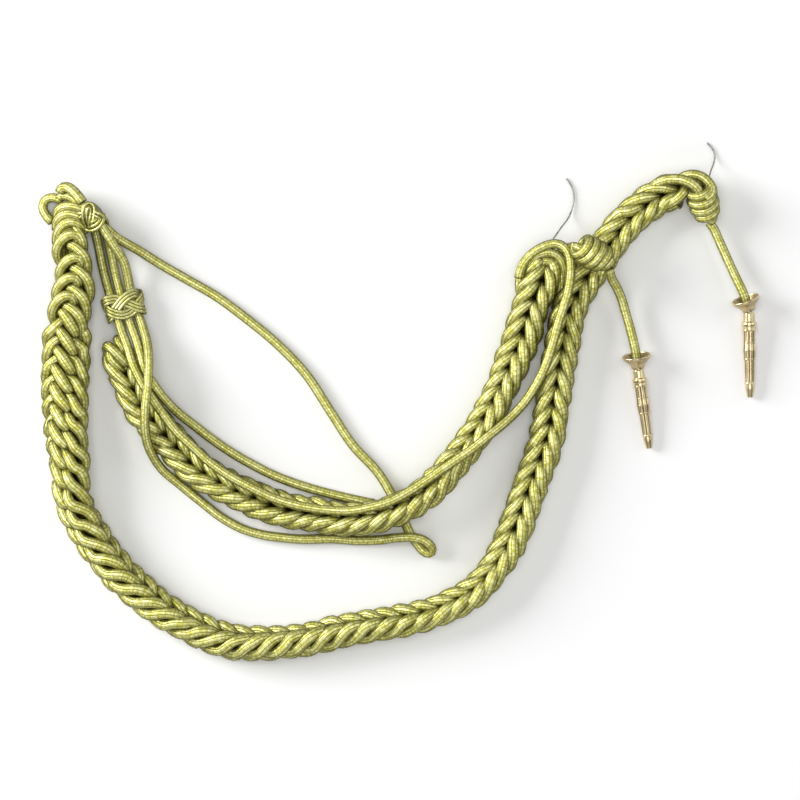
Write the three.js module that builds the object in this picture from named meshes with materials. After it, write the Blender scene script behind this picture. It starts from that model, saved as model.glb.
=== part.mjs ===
// An aiguillette of gold cord, lying on a table: two chain plaits, their loose cords, slide knots,
// coil knots and metal tags.
//
// Millimetres, +Z up. The table is z = 0, +X runs to the tag end and +Y away from the viewer.
// Routes give each point as across and down on a plan drawing, in plan units, and its height in mm.

import * as THREE from "three";

// Driving dimensions.
const PLAN_UNIT = 0.53; // mm for each unit of the plan
const PLAN_CENTRE = { across: 377.64, down: 400.93 };
const CORD = 5.0; // diameter of the main cord
const CORD_SIDES = 8;
const CORD_STEP = 1.7 * CORD; // length of one straight piece of a cord
const FOLD_STEP = 1.5 * CORD; // the same on a cord with a tight fold
const LOOP_STEP = 0.9 * CORD; // and on the small loops
const WIRE = 0.9;
const WIRE_SIDES = 6;
const WIRE_STEP = 3.4;
const PLAIT_PITCH = 9.9; // length of one stitch of a plait
const PLAIT_REST = 0.87; // share of its belly that a plait keeps when it rests on the table
const STITCH_RELIEF = { ridge: 1.03, valley: 0.89 };
const COIL_TURNS = 5;

// Plaits. roll turns the ribbed front face over, 0 with it up and 180 with it down; lift is how far
// the plait is held off the table; half_wide and half_thick are its section.
const PLAIT_COLUMNS = ["across", "down", "lift", "roll", "half_wide", "half_thick"];

const OUTER_PLAIT = table(PLAIT_COLUMNS, [
  [682, 190.8, 0, 0, 9.2, 6.8],
  [672, 192.3, 0, 0, 9.5, 7],
  [655, 198.8, 0, 0, 9.6, 7.2],
  [624, 225, 0, 0, 9.4, 7.2],
  [598.5, 260, 0, 0, 9.3, 7.2],
  [580, 287.5, 0, 0, 9.4, 7.2],
  [569, 310.5, 0, 0, 9.5, 7.2],
  [561, 352, 0, 0, 9.4, 7.2],
  [554, 395, 0, 0, 9.4, 7.2],
  [547, 437.5, 0, 2, 9.4, 7.2],
  [533, 479, 0, 6, 9.3, 7.2],
  [510, 541.5, 0, 12, 9.3, 7.2],
  [494, 569.4, 0, 16, 8.1, 7.2],
  [473, 592.6, 0, 20, 8.3, 7.2],
  [426, 615.5, 0, 32, 8.4, 7],
  [358, 628.8, 0, 50, 8.6, 7.8],
  [287, 642, 0, 68, 8.6, 7.6],
  [228, 641, 0, 56, 9.2, 8.4],
  [179, 620.5, 0, 52, 9.3, 8.2],
  [138.5, 592, 0, 58, 9.6, 8.6],
  [101.5, 550.5, 0, 70, 9.6, 8.6],
  [77.6, 506.8, 0, 92, 10.5, 9],
  [69.4, 465, 0, 124, 12.2, 8.5],
  [65, 415, 0, 148, 12.8, 7.8],
  [65.8, 360, 0, 174, 13.1, 7.4],
  [69, 305, 0, 198, 12.2, 7.4],
  [72, 262, 0, 214, 11.6, 7.4],
  [71, 237, 0, 222, 10.6, 7.2],
  [69.5, 220, 0, 222, 8.2, 6.6],
  [70.5, 206.5, 0, 222, 6.4, 5.6],
]);

const INNER_PLAIT = table(PLAIT_COLUMNS, [
  [547.4, 254.5, 1.6, 0, 7.8, 6],
  [543.3, 274, 2.6, 0, 10, 7],
  [535.8, 293, 2.6, 2, 10, 7.2],
  [528.4, 313.2, 1.4, 5, 9.8, 7.2],
  [521.6, 337.4, 0, 8, 10, 7.2],
  [502, 387.2, 0, 18, 8.8, 7.2],
  [485.2, 420.3, 0, 20, 8.5, 7.2],
  [464, 450.6, 1, 24, 8.2, 7.2],
  [430, 490, 5, 28, 8.4, 7.2],
  [399, 509, 5.8, 28, 8.6, 7.2],
  [371.5, 517.5, 4.8, 25, 8.8, 7.2],
  [342.5, 519.5, 2.6, 16, 9, 7.2],
  [313, 514.3, 1, 8, 9.2, 7.2],
  [281.2, 508.8, 0, 6, 9.5, 7.2],
  [249.6, 496.9, 0, 8, 9.7, 7.2],
  [223.4, 485.4, 0, 8, 9, 7],
  [199.6, 471, 0, 8, 9.5, 7],
  [181.6, 454.4, 0, 8, 9.6, 6.8],
  [150.4, 418.4, 0, 5, 9.9, 6.4],
  [140.2, 404.6, 0, 3, 9.9, 6],
  [126.8, 374.4, 0, 0, 9.9, 5.6],
  [118.8, 357.4, 0, 0, 9.2, 5],
  [118.4, 344.4, 0, 0, 7.2, 4.4],
]);

// A stitch's section: out and up are shares of half_wide and half_thick, and trail is how far the
// point lags behind the middle groove, in stitches, so that the ribs form an arrowhead.
const STITCH_SECTION = table(
  ["out", "up", "trail"],
  [
    [0, 0.62, 0],
    [0.45, 1, 0.25],
    [0.84, 0.68, 0.5],
    [1, 0, 0.75],
    [0.86, -0.66, 0.6],
    [0.42, -1, 0.35],
    [-0.42, -1, 0.35],
    [-0.86, -0.66, 0.6],
    [-1, 0, 0.75],
    [-0.84, 0.68, 0.5],
    [-0.45, 1, 0.25],
  ],
);

// Loose cords: across, down, height of the middle of the cord.
const BUTTON_LOOP_ROUTE = [
  [84.6, 204.7, 10.9],
  [94.8, 216.3, 10.9],
  [105.2, 227.4, 10.9],
  [117.5, 238.2, 9.2],
  [137, 249.5, 5],
  [160, 264, 2.8],
  [186.8, 279.4, 2.8],
  [216.2, 296.4, 2.8],
  [248.8, 320.6, 2.8],
  [277.4, 344.4, 2.8],
  [305.4, 373.8, 2.8],
  [329.6, 410.4, 2.8],
  [352.8, 445.4, 2.8],
  [377.8, 472.6, 2.8],
  [393, 497.6, 2.8],
  [404, 521, 2.8],
  [410.2, 534.2, 2.8],
  [417.4, 544.2, 2.8],
  [424.6, 552.2, 2.9],
  [430.2, 553.6, 3.4],
  [432, 549, 5],
  [428.4, 543.8, 7],
  [421.4, 539.2, 8.2],
  [411, 537.2, 8.2],
  [397, 537.8, 6.6],
  [381, 540, 3.6],
  [358, 540.8, 2.8],
  [333, 539, 2.8],
  [302, 539.4, 2.8],
  [280, 537.6, 2.8],
  [261, 534.8, 2.8],
  [241, 528.6, 2.8],
  [221, 517.6, 2.8],
  [200.4, 501.6, 2.8],
  [180.2, 485.2, 2.8],
  [161, 468.2, 6],
  [148.6, 445.2, 13],
  [145.8, 425, 17.4],
  [146.8, 404, 19.8],
  [149, 384, 19.6],
  [149.6, 362, 17.6],
  [147.6, 344, 13],
  [141.6, 324, 8.4],
  [134.2, 305.5, 6.6],
  [130, 290, 7],
  [124.4, 262.8, 11.8],
  [114.2, 245.3, 15.2],
  [104.4, 229.6, 16.4],
  [94.8, 216.3, 16.4],
  [84.6, 204.7, 16.4],
];

const FRONT_CORD_ROUTE = [
  [92.6, 224, 2.9],
  [95.8, 236.5, 2.9],
  [98.6, 249.5, 3],
  [101.4, 264, 3.4],
  [107, 286, 5.6],
  [113.2, 305.5, 6.6],
  [119.4, 324, 7.7],
  [122.6, 333.5, 9.4],
  [126.8, 344, 11.4],
  [133, 363.3, 13.2],
  [142, 382, 14],
  [152.4, 398, 14.2],
  [165.7, 417, 14.6],
  [177.8, 432.2, 14.8],
  [191.2, 444.8, 14.9],
  [210.6, 462.5, 15],
  [231, 476.5, 15.4],
  [251.4, 487.3, 16],
  [271.8, 497, 15.8],
  [292, 503.5, 15.9],
  [312.6, 507.7, 16.4],
  [333, 510, 17.3],
  [350, 510.2, 18.3],
  [369, 507, 19.3],
  [388.6, 501.7, 20],
  [407.9, 491.9, 19.6],
  [427.6, 479.2, 18.9],
  [447, 465.8, 18.8],
  [471, 449.5, 18.2],
  [488, 436, 17.4],
  [502, 424.8, 15.2],
  [512.6, 415.1, 13.2],
  [524.4, 402.2, 12.4],
  [536, 384.6, 13.2],
  [544.2, 368, 14.8],
  [551.6, 346, 16],
  [556.8, 326.5, 16.7],
  [562.6, 307.6, 16.9],
  [566.8, 294.5, 17],
  [569.4, 281, 17],
  [570.3, 266, 17],
  [568, 254, 16.4],
  [562, 246.4, 15.4],
  [553.6, 244.2, 14.4],
  [545.8, 246, 14.2],
  [537.6, 250, 13.8],
  [530.2, 255.4, 13.2],
  [524.4, 262.2, 11.8],
  [520.6, 270, 10.6],
  [518.6, 278, 9.4],
];

const BACK_CORD_ROUTE = [
  [104.4, 227, 2.9],
  [107.2, 240, 2.9],
  [110.2, 253, 3.2],
  [113.4, 268, 4],
  [118.2, 287, 5.6],
  [123.8, 305.5, 6.6],
  [130.4, 324, 8.2],
  [136.6, 340.5, 10.6],
  [140.8, 354, 12.2],
  [145.4, 369.6, 12.6],
  [155.6, 387, 11.8],
  [168.1, 402.9, 9],
  [180.4, 414.9, 5.4],
  [194, 425.6, 3],
  [211.2, 439, 2.8],
  [230.6, 452.3, 2.8],
  [250.8, 464, 2.8],
  [271.4, 474.6, 2.8],
  [291.6, 482.6, 2.8],
  [312.4, 489.3, 2.8],
  [332.8, 494.7, 2.8],
  [350, 498.8, 2.8],
  [362, 501.4, 2.8],
  [374, 503.8, 2.8],
];

const OUTER_TAG_CORD_ROUTE = [
  [709.2, 222.4, 6.8],
  [714, 228.8, 6.6],
  [719.4, 240.8, 6.4],
  [727.2, 258.2, 6.4],
  [735.2, 276, 7.4],
  [743.4, 293.6, 8.4],
  [747.6, 305.3, 6.75],
];

const INNER_TAG_CORD_ROUTE = [
  [608.4, 270, 18],
  [611, 278.8, 15],
  [615.6, 286.6, 12.6],
  [620.8, 297.2, 10],
  [625.2, 311.6, 8.6],
  [630.6, 330.4, 8.4],
  [635, 348.6, 8.4],
  [637.4, 362.4, 6.75],
];

const SHOULDER_RING_ROUTE = [
  [51, 221.4, 5],
  [46, 215.6, 3.6],
  [42.4, 208.8, 3],
  [42.8, 203, 3],
  [46.6, 198.6, 3.4],
  [52.4, 197.3, 4.6],
  [58, 198.7, 6],
  [62, 200.6, 6.8],
];

const SHOULDER_TOP_ROUTE = [
  [83.5, 203.2, 16.3],
  [79.8, 198.2, 15.8],
  [74.5, 192, 14.6],
  [68.6, 188, 12.6],
  [63.2, 188.2, 10.6],
  [60.4, 192.6, 9.6],
];

const OUTER_WIRE_ROUTE = [
  [708.8, 176.8, 11.4],
  [711, 170.4, 8],
  [713.6, 164.6, 3.6],
  [715.6, 157, 1],
  [714.4, 150, 0.7],
  [708, 142, 0.7],
];

const INNER_WIRE_ROUTE = [
  [552.4, 239.9, 14.1],
  [561.6, 227, 8.4],
  [569.5, 216, 2],
  [574, 202, 0.8],
  [573, 188, 0.7],
  [567, 177.7, 0.7],
];

// Slide knots: a woven ring round cords that lie side by side, or one above the other with a turn
// of 90 degrees.
const SMALL_KNOT = {
  at: [94.8, 216.3, 13.65],
  heading: [66, 75, 0],
  turn: 90,
  cords: 2,
  length: 15,
  wall: 2.1,
};
const LARGE_KNOT = {
  at: [123.8, 305.5, 6.6],
  heading: [5, 19, 0],
  turn: 0,
  cords: 3,
  length: 14.8,
  wall: 2.5,
};
const CORD_SPREAD = 1.1; // spacing of the cords in a slide knot, in diameters
const KNOT_CLEARANCE = 0.64; // between a slide knot's bore and its cords
const WOVEN_RING = { around: 28, across: 8, bights: 7, relief: 0.3 };

// Coil knots: radius is given along each knot's length.
const OUTER_COIL = {
  from: [695, 178, 11.6],
  to: [706.4, 221, 7.2],
  profile: table(["along", "radius"], [[0, 4.5], [0.1, 7], [0.3, 8.6], [0.6, 8.8], [0.82, 7.4], [1, 4.6]]),
};
const INNER_COIL = {
  from: [568.6, 243.6, 24],
  to: [610, 264.3, 20.2],
  profile: table(
    ["along", "radius"],
    [[0, 2.5], [0.17, 2.5], [0.18, 5], [0.3, 7.8], [0.5, 8.6], [0.72, 8.4], [0.88, 7], [1, 4.8]],
  ),
};
const COIL_SIDES = 16;
const COIL_RELIEF = 0.7;

// Metal tags: a bell cap on the cord and a turned point below it. Both tags have the same profiles,
// which run from the cord to the tip.
const CAP_HOLLOW = { mouth: 7, floor: 3.2, depth: 4.4 };
const CAP_PROFILE = table(["along", "radius"], [[0, 7.7], [0.9, 7.7], [2.6, 6.4], [4.8, 4.4], [7, 3.3]]);
const CAP_TILT = 14; // degrees that the cap's open end is raised
const TAG_SIDES = 14;
const TAG_PROFILE = table(
  ["along", "radius"],
  [
    [0, 1.5],
    [0.4, 1.5],
    [0.6, 3],
    [4.8, 3.1],
    [5.4, 3.9],
    [7.4, 3.9],
    [8, 3.5],
    [9.2, 3.5],
    [9.4, 4],
    [9.9, 4],
    [10.1, 3.2],
    [16.4, 3.1],
    [20.4, 3.45],
    [24.6, 3.1],
    [25.4, 2.8],
    [37.4, 2.55],
    [37.6, 2.75],
    [38.1, 2.75],
    [38.4, 2.45],
    [41, 2.3],
    [45.4, 1.5],
  ],
);
const OUTER_CAP = { from: [745.3, 298.6, 7.8], heading: [10, 29] };
const INNER_CAP = { from: [636.4, 355.4, 7.8], heading: [4, 28] };
const OUTER_TAG = { from: [749.4, 312, 5.9], heading: [1.5, 86], stretch: 1 };
const INNER_TAG = { from: [638.4, 369.2, 5.9], heading: [11.5, 79], stretch: 0.94 };
const TAG_DIP = 3.75; // how much lower a point's tip lies than its neck

// Materials.
const GOLD_CORD = new THREE.MeshStandardMaterial({ color: 0xb8b840, roughness: 0.55, metalness: 0.2 });
const GOLD_METAL = new THREE.MeshStandardMaterial({ color: 0xd8b860, roughness: 0.2, metalness: 1 });
const DARK_WIRE = new THREE.MeshStandardMaterial({ color: 0x55554c, roughness: 0.4, metalness: 0.8 });

function table(columns, rows) {
  return rows.map((row) => Object.fromEntries(columns.map((name, k) => [name, row[k]])));
}

// A point of the plan, in millimetres.
function place([across, down, height]) {
  const x = (across - PLAN_CENTRE.across) * PLAN_UNIT;
  const y = (PLAN_CENTRE.down - down) * PLAN_UNIT;
  return new THREE.Vector3(x, y, height);
}

function smoothRoute(route) {
  const curve = new THREE.CatmullRomCurve3(route.map(place), false, "centripetal");
  curve.arcLengthDivisions = 2000;
  return curve;
}

function named(name, geometry, material) {
  const mesh = new THREE.Mesh(geometry, material);
  mesh.name = name;
  return mesh;
}

// A round section carried along a route in straight pieces, with flat closed ends.
function cord(name, route, step = CORD_STEP, diameter = CORD, sides = CORD_SIDES, material = GOLD_CORD) {
  const path = smoothRoute(route);
  const section = new THREE.Shape();
  for (let side = 0; side < sides; side += 1) {
    const turn = (side / sides) * 2 * Math.PI;
    const corner = [(Math.cos(turn) * diameter) / 2, (Math.sin(turn) * diameter) / 2];
    if (side === 0) section.moveTo(...corner);
    else section.lineTo(...corner);
  }
  const steps = Math.round(path.getLength() / step);
  const geometry = new THREE.ExtrudeGeometry(section, { steps, bevelEnabled: false, extrudePath: path });
  return named(name, geometry, material);
}

// A closed skin through rings of equal length. A tube of rings gets its two ends filled; a loop of
// rings joins its last ring to its first.
function skin(rings, joined) {
  const count = rings[0].length;
  const points = rings.flat();
  const faces = [];
  const bands = joined ? rings.length : rings.length - 1;
  for (let band = 0; band < bands; band += 1) {
    const here = band * count;
    const next = ((band + 1) % rings.length) * count;
    for (let k = 0; k < count; k += 1) {
      const after = (k + 1) % count;
      faces.push(here + k, here + after, next + after, here + k, next + after, next + k);
    }
  }
  if (!joined) {
    const last = (rings.length - 1) * count;
    const ends = [rings[0], rings[rings.length - 1]].map(middle);
    const first = points.length;
    points.push(...ends);
    for (let k = 0; k < count; k += 1) {
      const after = (k + 1) % count;
      faces.push(first, after, k, first + 1, last + k, last + after);
    }
  }
  const geometry = new THREE.BufferGeometry();
  geometry.setFromPoints(points);
  geometry.setIndex(faces);
  geometry.computeVertexNormals();
  return geometry;
}

function middle(ring) {
  return ring.reduce((sum, point) => sum.add(point), new THREE.Vector3()).divideScalar(ring.length);
}

// Smooth values of the plait's columns at a share of its length.
function plaitAt(rows, path, share) {
  const t = path.getUtoTmapping(share);
  const at = t * (rows.length - 1);
  const row = Math.min(rows.length - 2, Math.floor(at));
  const part = at - row;
  const value = {};
  for (const name of ["lift", "roll", "half_wide", "half_thick"]) {
    value[name] = THREE.MathUtils.lerp(rows[row][name], rows[row + 1][name], part);
  }
  return value;
}

// A chain plait as one solid. Two rings to each stitch make its ribs, which stand straight at the
// plait's ends, and what would dip below its bed is pressed flat.
function plait(name, rows) {
  const path = smoothRoute(rows.map(({ across, down }) => [across, down, 0]));
  const length = path.getLength();
  const rounds = 2 * Math.round(length / PLAIT_PITCH);
  const rings = [];
  for (let round = 0; round <= rounds; round += 1) {
    const share = round / rounds;
    const { lift, roll, half_wide, half_thick } = plaitAt(rows, path, share);
    const turn = THREE.MathUtils.degToRad(roll);
    const belly = PLAIT_REST * Math.hypot(half_wide * Math.sin(turn), half_thick * Math.cos(turn));
    const centre = path.getPointAt(share);
    const along = path.getTangentAt(share);
    const side = new THREE.Vector3(along.y, -along.x, 0);
    const swell = round % 2 ? STITCH_RELIEF.ridge : STITCH_RELIEF.valley;
    const fromEnd = Math.min(share, 1 - share) * length;
    const lean = PLAIT_PITCH * Math.min(1, fromEnd / (2 * PLAIT_PITCH));
    rings.push(
      STITCH_SECTION.map(({ out, up, trail }) => {
        const wide = out * half_wide * swell;
        const high = up * half_thick * swell;
        const x = wide * Math.cos(turn) + high * Math.sin(turn);
        const z = high * Math.cos(turn) - wide * Math.sin(turn);
        return centre
          .clone()
          .addScaledVector(side, x)
          .addScaledVector(along, trail * lean)
          .setZ(lift + Math.max(0, belly + z));
      }),
    );
  }
  return named(name, skin(rings, false), GOLD_CORD);
}

function headed(mesh, from, heading) {
  const direction = new THREE.Vector3(heading[0], -heading[1], heading[2]).normalize();
  mesh.position.copy(place(from));
  mesh.quaternion.setFromUnitVectors(new THREE.Vector3(0, 1, 0), direction);
  return mesh;
}

// A Turk's head as one woven ring round a flat bundle of cords. Its hole is a slot with round ends.
function slideKnot(name, { at, heading, turn, cords, length, wall }) {
  const { around, across, bights, relief } = WOVEN_RING;
  const slot = ((cords - 1) * CORD * CORD_SPREAD) / 2;
  const bore = CORD / 2 + KNOT_CLEARANCE;
  const rings = [];
  for (let k = 0; k < around; k += 1) {
    const round = (k / around) * 2 * Math.PI;
    const ring = [];
    for (let m = 0; m < across; m += 1) {
      const over = (m / across) * 2 * Math.PI;
      const weave = relief * Math.cos(bights * round + (m % 2) * Math.PI) * Math.max(0, Math.cos(over));
      const reach = bore + wall * (0.5 + 0.5 * Math.cos(over)) + weave;
      const x = Math.cos(round) * reach + Math.sign(Math.cos(round)) * slot;
      ring.push(new THREE.Vector3(x, (length / 2) * Math.sin(over), Math.sin(round) * reach));
    }
    rings.push(ring);
  }
  const geometry = skin(rings, true).rotateY(THREE.MathUtils.degToRad(turn));
  return headed(named(name, geometry, GOLD_CORD), at, heading);
}

function radiusAt(profile, along) {
  const next = Math.max(1, profile.findIndex((row) => row.along >= along));
  const [a, b] = [profile[next - 1], profile[next]];
  return THREE.MathUtils.mapLinear(along, a.along, b.along, a.radius, b.radius);
}

// A coil knot: a barrel with one round rib for each turn.
function coilKnot(name, { from, to, profile }) {
  const [start, end] = [place(from), place(to)];
  const length = start.distanceTo(end);
  const outline = [new THREE.Vector2(0, 0)];
  const rows = 4 * COIL_TURNS;
  for (let k = 0; k <= rows; k += 1) {
    const along = k / rows;
    const rib = COIL_RELIEF * (Math.abs(Math.sin(along * COIL_TURNS * Math.PI)) - 1);
    outline.push(new THREE.Vector2(radiusAt(profile, along) + rib, along * length));
  }
  outline.push(new THREE.Vector2(0, length));
  const mesh = named(name, new THREE.LatheGeometry(outline, COIL_SIDES), GOLD_CORD);
  const heading = end.clone().sub(start);
  return headed(mesh, from, [heading.x, -heading.y, heading.z]);
}

// A bell cap: its hollow takes the cord's end.
function cap(name, { from, heading }) {
  const { mouth, floor, depth } = CAP_HOLLOW;
  const length = CAP_PROFILE[CAP_PROFILE.length - 1].along;
  const outline = [
    new THREE.Vector2(0, depth),
    new THREE.Vector2(floor, depth),
    new THREE.Vector2(mouth, 0),
    ...profileOf(CAP_PROFILE),
    new THREE.Vector2(0, length),
  ];
  const mesh = named(name, new THREE.LatheGeometry(outline, TAG_SIDES), GOLD_METAL);
  const dip = Math.hypot(...heading) * Math.tan(THREE.MathUtils.degToRad(CAP_TILT));
  return headed(mesh, from, [...heading, -dip]);
}

// A turned point, which lies on its last ring and whose neck is held up by the cap. The inner one is
// a little shorter in the photo, so it has its own stretch.
function tag(name, { from, heading, stretch }) {
  const length = TAG_PROFILE[TAG_PROFILE.length - 1].along;
  const outline = [new THREE.Vector2(0, 0), ...profileOf(TAG_PROFILE), new THREE.Vector2(0, length)];
  const mesh = named(name, new THREE.LatheGeometry(outline, TAG_SIDES).scale(1, stretch, 1), GOLD_METAL);
  return headed(mesh, from, [...heading, (-TAG_DIP / length / stretch) * Math.hypot(...heading)]);
}

function profileOf(rows) {
  return rows.map(({ along, radius }) => new THREE.Vector2(radius, along));
}

const wire = [WIRE_STEP, WIRE, WIRE_SIDES, DARK_WIRE];
const aiguillette = new THREE.Group();
aiguillette.add(
  plait("outer_plait", OUTER_PLAIT),
  plait("inner_plait", INNER_PLAIT),
  cord("button_loop_cord", BUTTON_LOOP_ROUTE, FOLD_STEP),
  cord("front_cord", FRONT_CORD_ROUTE),
  cord("back_cord", BACK_CORD_ROUTE),
  cord("shoulder_ring_loop", SHOULDER_RING_ROUTE, LOOP_STEP),
  cord("shoulder_top_loop", SHOULDER_TOP_ROUTE, LOOP_STEP),
  slideKnot("small_slide_knot", SMALL_KNOT),
  slideKnot("large_slide_knot", LARGE_KNOT),
  coilKnot("outer_coil_knot", OUTER_COIL),
  coilKnot("inner_coil_knot", INNER_COIL),
  cord("outer_tag_cord", OUTER_TAG_CORD_ROUTE),
  cord("inner_tag_cord", INNER_TAG_CORD_ROUTE),
  cap("outer_tag_cap", OUTER_CAP),
  cap("inner_tag_cap", INNER_CAP),
  tag("outer_tag", OUTER_TAG),
  tag("inner_tag", INNER_TAG),
  cord("outer_wire_end", OUTER_WIRE_ROUTE, ...wire),
  cord("inner_wire_end", INNER_WIRE_ROUTE, ...wire),
);

export default aiguillette;
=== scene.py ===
"""An aiguillette of gold cord on a pale table: two chain plaits, loose cords, knots and metal tags."""

import math

import bpy
import numpy as np
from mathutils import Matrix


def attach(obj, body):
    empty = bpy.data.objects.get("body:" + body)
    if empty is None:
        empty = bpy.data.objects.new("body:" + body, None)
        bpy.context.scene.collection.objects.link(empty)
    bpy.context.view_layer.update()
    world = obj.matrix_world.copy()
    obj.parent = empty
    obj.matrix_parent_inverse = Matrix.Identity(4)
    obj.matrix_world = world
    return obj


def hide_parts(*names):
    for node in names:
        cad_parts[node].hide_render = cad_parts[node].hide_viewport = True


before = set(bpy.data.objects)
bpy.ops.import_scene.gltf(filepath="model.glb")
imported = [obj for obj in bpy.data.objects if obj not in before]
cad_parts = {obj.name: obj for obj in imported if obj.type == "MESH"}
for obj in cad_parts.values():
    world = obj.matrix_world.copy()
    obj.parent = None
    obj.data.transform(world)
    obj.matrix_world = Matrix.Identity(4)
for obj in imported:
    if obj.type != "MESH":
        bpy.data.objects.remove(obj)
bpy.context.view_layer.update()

# The plan is the photo's: its unit in metres, its width in units and the part's origin on it.
PLAN_UNIT = 0.00053
PLAN_WIDTH = 800
PLAN_CENTRE = np.array([377.64, 400.93])
MM = 0.001

# Diameters.
CORD = 5.0 * MM
STRAND = 5.5 * MM
WIRE = 0.9 * MM

# How finely tubes are made: sides of a ring, gaps between rings, and steps of a curve for each point.
CORD_SIDES = 14
STRAND_SIDES = 12
THIN_SIDES = 8
RING_GAP = 1.8 * MM
STRAND_GAP = 2.1 * MM
BAND_GAP = 1.6 * MM
THIN_GAP = 0.8 * MM
CURVE_STEPS = 40
FEWEST_GAPS = 6

# A direction that no cord follows.
OFF_AXIS = (0.31, 0.17, 0.94)


def place(route):
    """Plan points (across, down, height in mm) as metres: x is across from the origin and y is up
    the plan."""
    route = np.asarray(route, float)
    flat = (route[:, :2] - PLAN_CENTRE) * PLAN_UNIT * (1, -1)
    return np.column_stack([flat, route[:, 2] * MM])


def unit(vectors):
    """Each vector divided by its length."""
    return vectors / np.linalg.norm(vectors, axis=-1, keepdims=True)


def dots(a, b):
    """The scalar product of each pair of rows."""
    return np.sum(a * b, axis=-1)


def through(points, t):
    """The centripetal Catmull-Rom curve through points at t from 0 to 1.

    Between two points it is the cubic whose end slopes come from their neighbours, with knots as far
    apart as the square root of the distance between points. Past each end the points are mirrored.
    """
    p = np.vstack([2 * points[0] - points[1], points, 2 * points[-1] - points[-2]])
    at = np.clip(t, 0, 1) * (len(points) - 1)
    row = np.minimum(at.astype(int), len(points) - 2)
    part = (at - row)[:, None]
    p0, p1, p2, p3 = (p[row + k] for k in range(4))
    steps = ((p0, p1), (p1, p2), (p2, p3))
    d0, d1, d2 = (np.sqrt(np.linalg.norm(b - a, axis=1, keepdims=True)) for a, b in steps)
    slope1 = ((p1 - p0) / d0 - (p2 - p0) / (d0 + d1) + (p2 - p1) / d1) * d1
    slope2 = ((p2 - p1) / d1 - (p3 - p1) / (d1 + d2) + (p3 - p2) / d2) * d1
    square = 3 * (p2 - p1) - 2 * slope1 - slope2
    cube = 2 * (p1 - p2) + slope1 + slope2
    return p1 + slope1 * part + square * part**2 + cube * part**3


def lengths(line):
    """How far along the line each of its points lies."""
    return np.concatenate([[0], np.cumsum(np.linalg.norm(np.diff(line, axis=0), axis=1))])


def evenly(points, gap=RING_GAP):
    """Points of the smooth curve through points, about gap apart along it."""
    t = np.linspace(0, 1, CURVE_STEPS * len(points) + 1)
    run = lengths(through(points, t))
    count = max(FEWEST_GAPS, round(run[-1] / gap))
    return through(points, np.interp(np.linspace(0, run[-1], count + 1), run, t))


def frames(path):
    """Two directions square to the path at each point, which don't twist along it.

    A fixed direction is laid square to each tangent. Carrying it from one point to the next by the
    smallest turn shows how far the next one is off, and the running sum of these turns is taken back.
    """
    along = unit(np.gradient(path, axis=0))
    fixed = unit(np.array(OFF_AXIS))
    side = unit(fixed - along * (along @ fixed)[:, None])
    up = np.cross(along, side)
    a, b = along[:-1], along[1:]
    carried = side[:-1] - (dots(side[:-1], b) / (1 + dots(a, b)))[:, None] * (a + b)
    turn = np.arctan2(dots(carried, up[1:]), dots(carried, side[1:]))
    turn = np.concatenate([[0], np.cumsum(turn)])[:, None]
    return side * np.cos(turn) + up * np.sin(turn), up * np.cos(turn) - side * np.sin(turn)


def tube(path, diameter, sides=CORD_SIDES, swell=None):
    """A round tube's rings, and how far along each lies in girths. A ring is its path point plus the
    radius times (cos a, sin a) in the two directions across the path. swell scales each radius."""
    side, up = frames(path)
    a = np.linspace(0, 2 * math.pi, sides, endpoint=False)
    radius = diameter / 2 * (np.ones(len(path)) if swell is None else swell)
    ring = np.cos(a)[None, :, None] * side[:, None] + np.sin(a)[None, :, None] * up[:, None]
    run = lengths(path) / (math.pi * diameter)
    return path[:, None] + radius[:, None, None] * ring, run


def shell(grid, run, painted_light=None):
    """Points, faces, pattern coordinates and painted light of a grid of rings, with its two ends closed.

    Faces run (ring, side) to the next side, then to the next ring. The pattern's first coordinate
    goes from 0 to 1 round a ring and its second is the length along the grid in ring girths.
    painted_light is 1 where a point lies free and falls to 0, full painted shade, deep between strands or
    in a groove.
    """
    rings, sides = grid.shape[:2]
    painted_light = np.ones((rings, sides)) if painted_light is None else painted_light
    i, k = np.meshgrid(np.arange(rings - 1), np.arange(sides), indexing="ij")
    after = (k + 1) % sides
    here, ahead = i * sides, (i + 1) * sides
    faces = np.stack([here + k, here + after, ahead + after, ahead + k], -1).reshape(-1, 4)
    u = np.stack([k, k + 1, k + 1, k], -1) / sides
    v = np.stack([run[i], run[i], run[i + 1], run[i + 1]], -1)
    marks = np.stack([u, v], -1).reshape(-1, 4, 2)
    points = grid.reshape(-1, 3)
    first, last = len(points), (rings - 1) * sides
    points = np.vstack([points, grid[0].mean(0), grid[-1].mean(0)])
    k = np.arange(sides)
    after = (k + 1) % sides
    caps = np.vstack([
        np.column_stack([np.full(sides, first), after, k]),
        np.column_stack([np.full(sides, first + 1), last + k, last + after]),
    ])
    start_u = np.column_stack([k + 0.5, k + 1, k]) / sides
    end_u = np.column_stack([k + 0.5, k, k + 1]) / sides
    cap_marks = np.stack([
        np.vstack([start_u, end_u]),
        np.vstack([np.full((sides, 3), run[0]), np.full((sides, 3), run[-1])]),
    ], -1)
    painted_light = np.concatenate([painted_light.ravel(), [painted_light[0].mean(), painted_light[-1].mean()]])
    return points, [faces, caps], [marks, cap_marks], painted_light


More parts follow.
